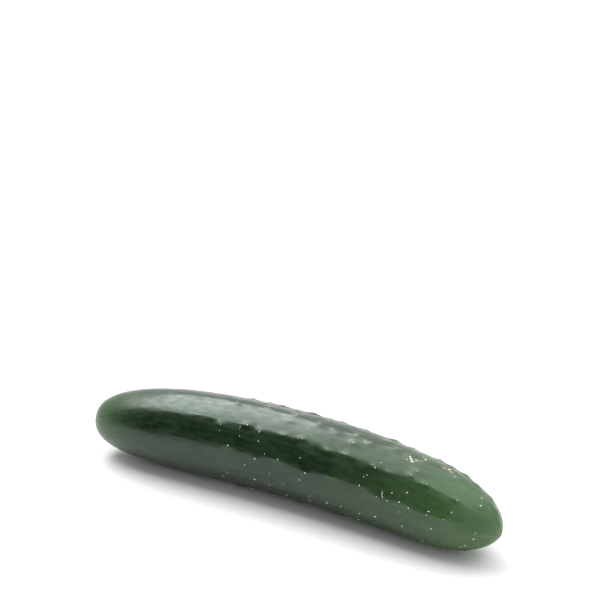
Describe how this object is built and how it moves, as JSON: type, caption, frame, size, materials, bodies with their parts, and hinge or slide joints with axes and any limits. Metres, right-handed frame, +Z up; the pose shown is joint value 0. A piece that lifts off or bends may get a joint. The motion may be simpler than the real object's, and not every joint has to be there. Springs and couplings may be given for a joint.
{
  "type": "cucumber",
  "caption": "Fresh dark green slicing cucumber, whole, gently bent, tapered to a blunt stem end, lying on its side, with low warts, pale spine stubs and a scar at each end.",
  "frame": {"origin": "middle of the bounding box, at table height", "axes": "+X from the stem end to the blossom end, +Y to the outer side of the bend, +Z up"},
  "size_m": [0.2146, 0.0434, 0.0406],
  "materials": {
    "skin": "waxy dark green cucumber skin, semi-gloss, a little lighter and yellower towards both ends",
    "spine": "dull cream-white stubs of worn spines",
    "scar": "dry tan cork where the stalk was cut, where the flower dropped off and where the skin was grazed"
  },
  "bodies": {
    "root": {"cucumber": "skin"}
  },
  "joints": []
}
